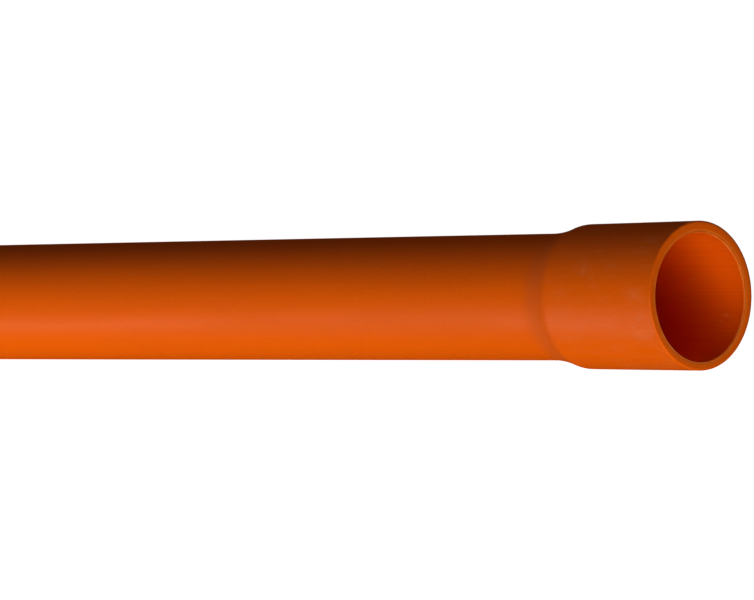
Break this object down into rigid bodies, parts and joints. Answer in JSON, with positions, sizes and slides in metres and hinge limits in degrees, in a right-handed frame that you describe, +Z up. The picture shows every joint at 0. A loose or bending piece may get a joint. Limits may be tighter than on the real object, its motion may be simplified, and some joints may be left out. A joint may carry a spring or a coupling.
{
  "type": "belled conduit length",
  "caption": "Straight length of rigid orange plastic electrical conduit with a smooth belled socket formed at one end and a square-cut plain end.",
  "frame": {"origin": "centre of the socket's mouth, on the conduit's axis, in the plane of the mouth's rim", "axes": "+X along the axis, out of the mouth; +Z up; +Y completes the right-handed frame; the conduit runs from the origin towards -X"},
  "size_m": [0.3, 0.0288, 0.0288],
  "materials": {
    "orange_pvc": "satin extruded PVC-U, faint draw lines"
  },
  "bodies": {
    "root": {"belled_conduit": "orange_pvc"}
  },
  "joints": []
}
